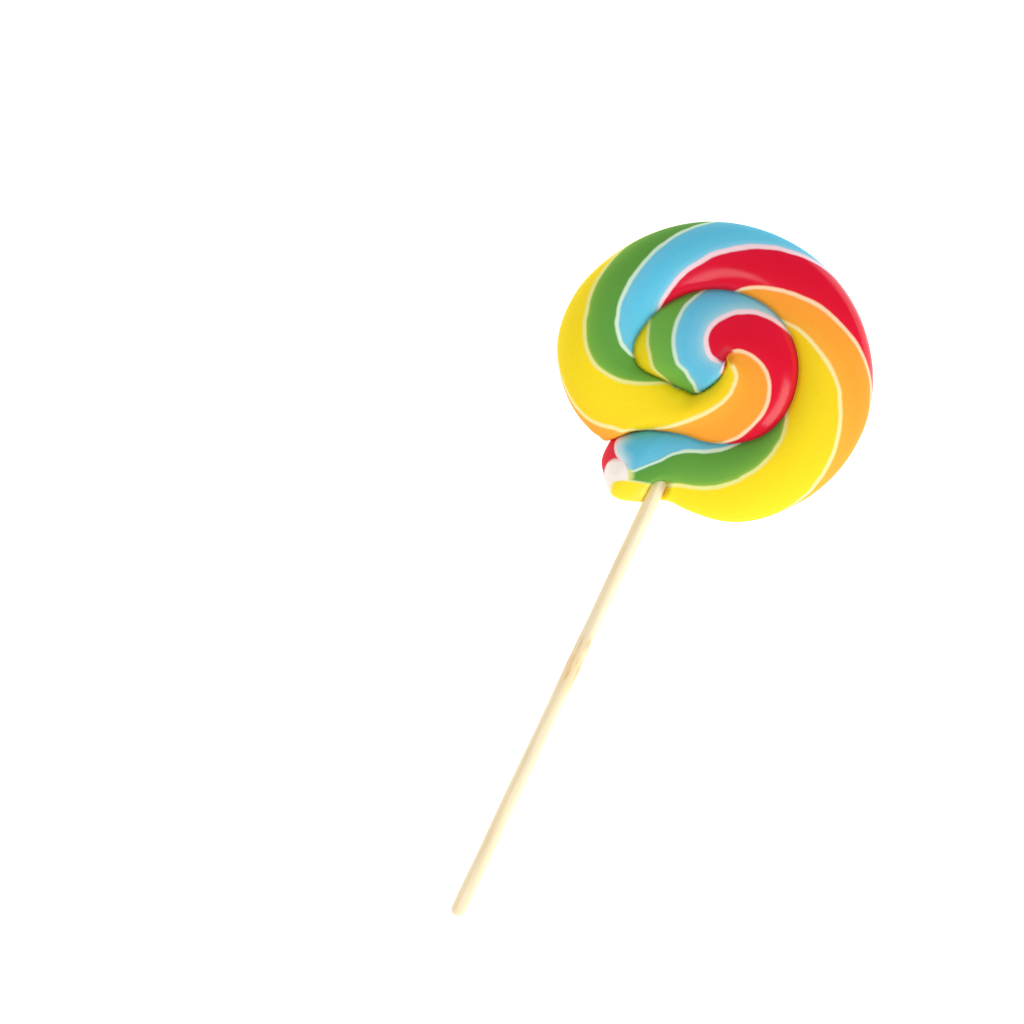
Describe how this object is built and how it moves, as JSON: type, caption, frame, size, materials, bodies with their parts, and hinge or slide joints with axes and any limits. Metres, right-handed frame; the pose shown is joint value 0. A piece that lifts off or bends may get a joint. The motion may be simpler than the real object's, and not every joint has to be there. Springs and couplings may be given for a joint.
{
  "type": "swirl lollipop",
  "caption": "Round swirl lollipop: a thick rope of striped boiled sugar coiled flat round its own centre, on a round wooden stick, lying on its flat back.",
  "frame": {"origin": "under the middle of the whole lollipop's outline, in the plane of the head's flat back", "axes": "+Z comes out of the shown face, +Y runs along the stick towards the head, +X to the right as the shown face is looked at with the head up"},
  "size_m": [0.082, 0.1929, 0.0132],
  "materials": {
    "striped_sugar": "boiled and pulled sugar, satin gloss, slightly see-through, in twisted red, orange, yellow, green and blue stripes with thin pale lines between them",
    "pale_sugar": "aerated white pulled sugar, soft satin",
    "stick_wood": "pale turned birch, plain sanded, fine straight grain"
  },
  "bodies": {
    "root": {"candy": "striped_sugar", "core": "pale_sugar", "stick": "stick_wood"}
  },
  "joints": []
}
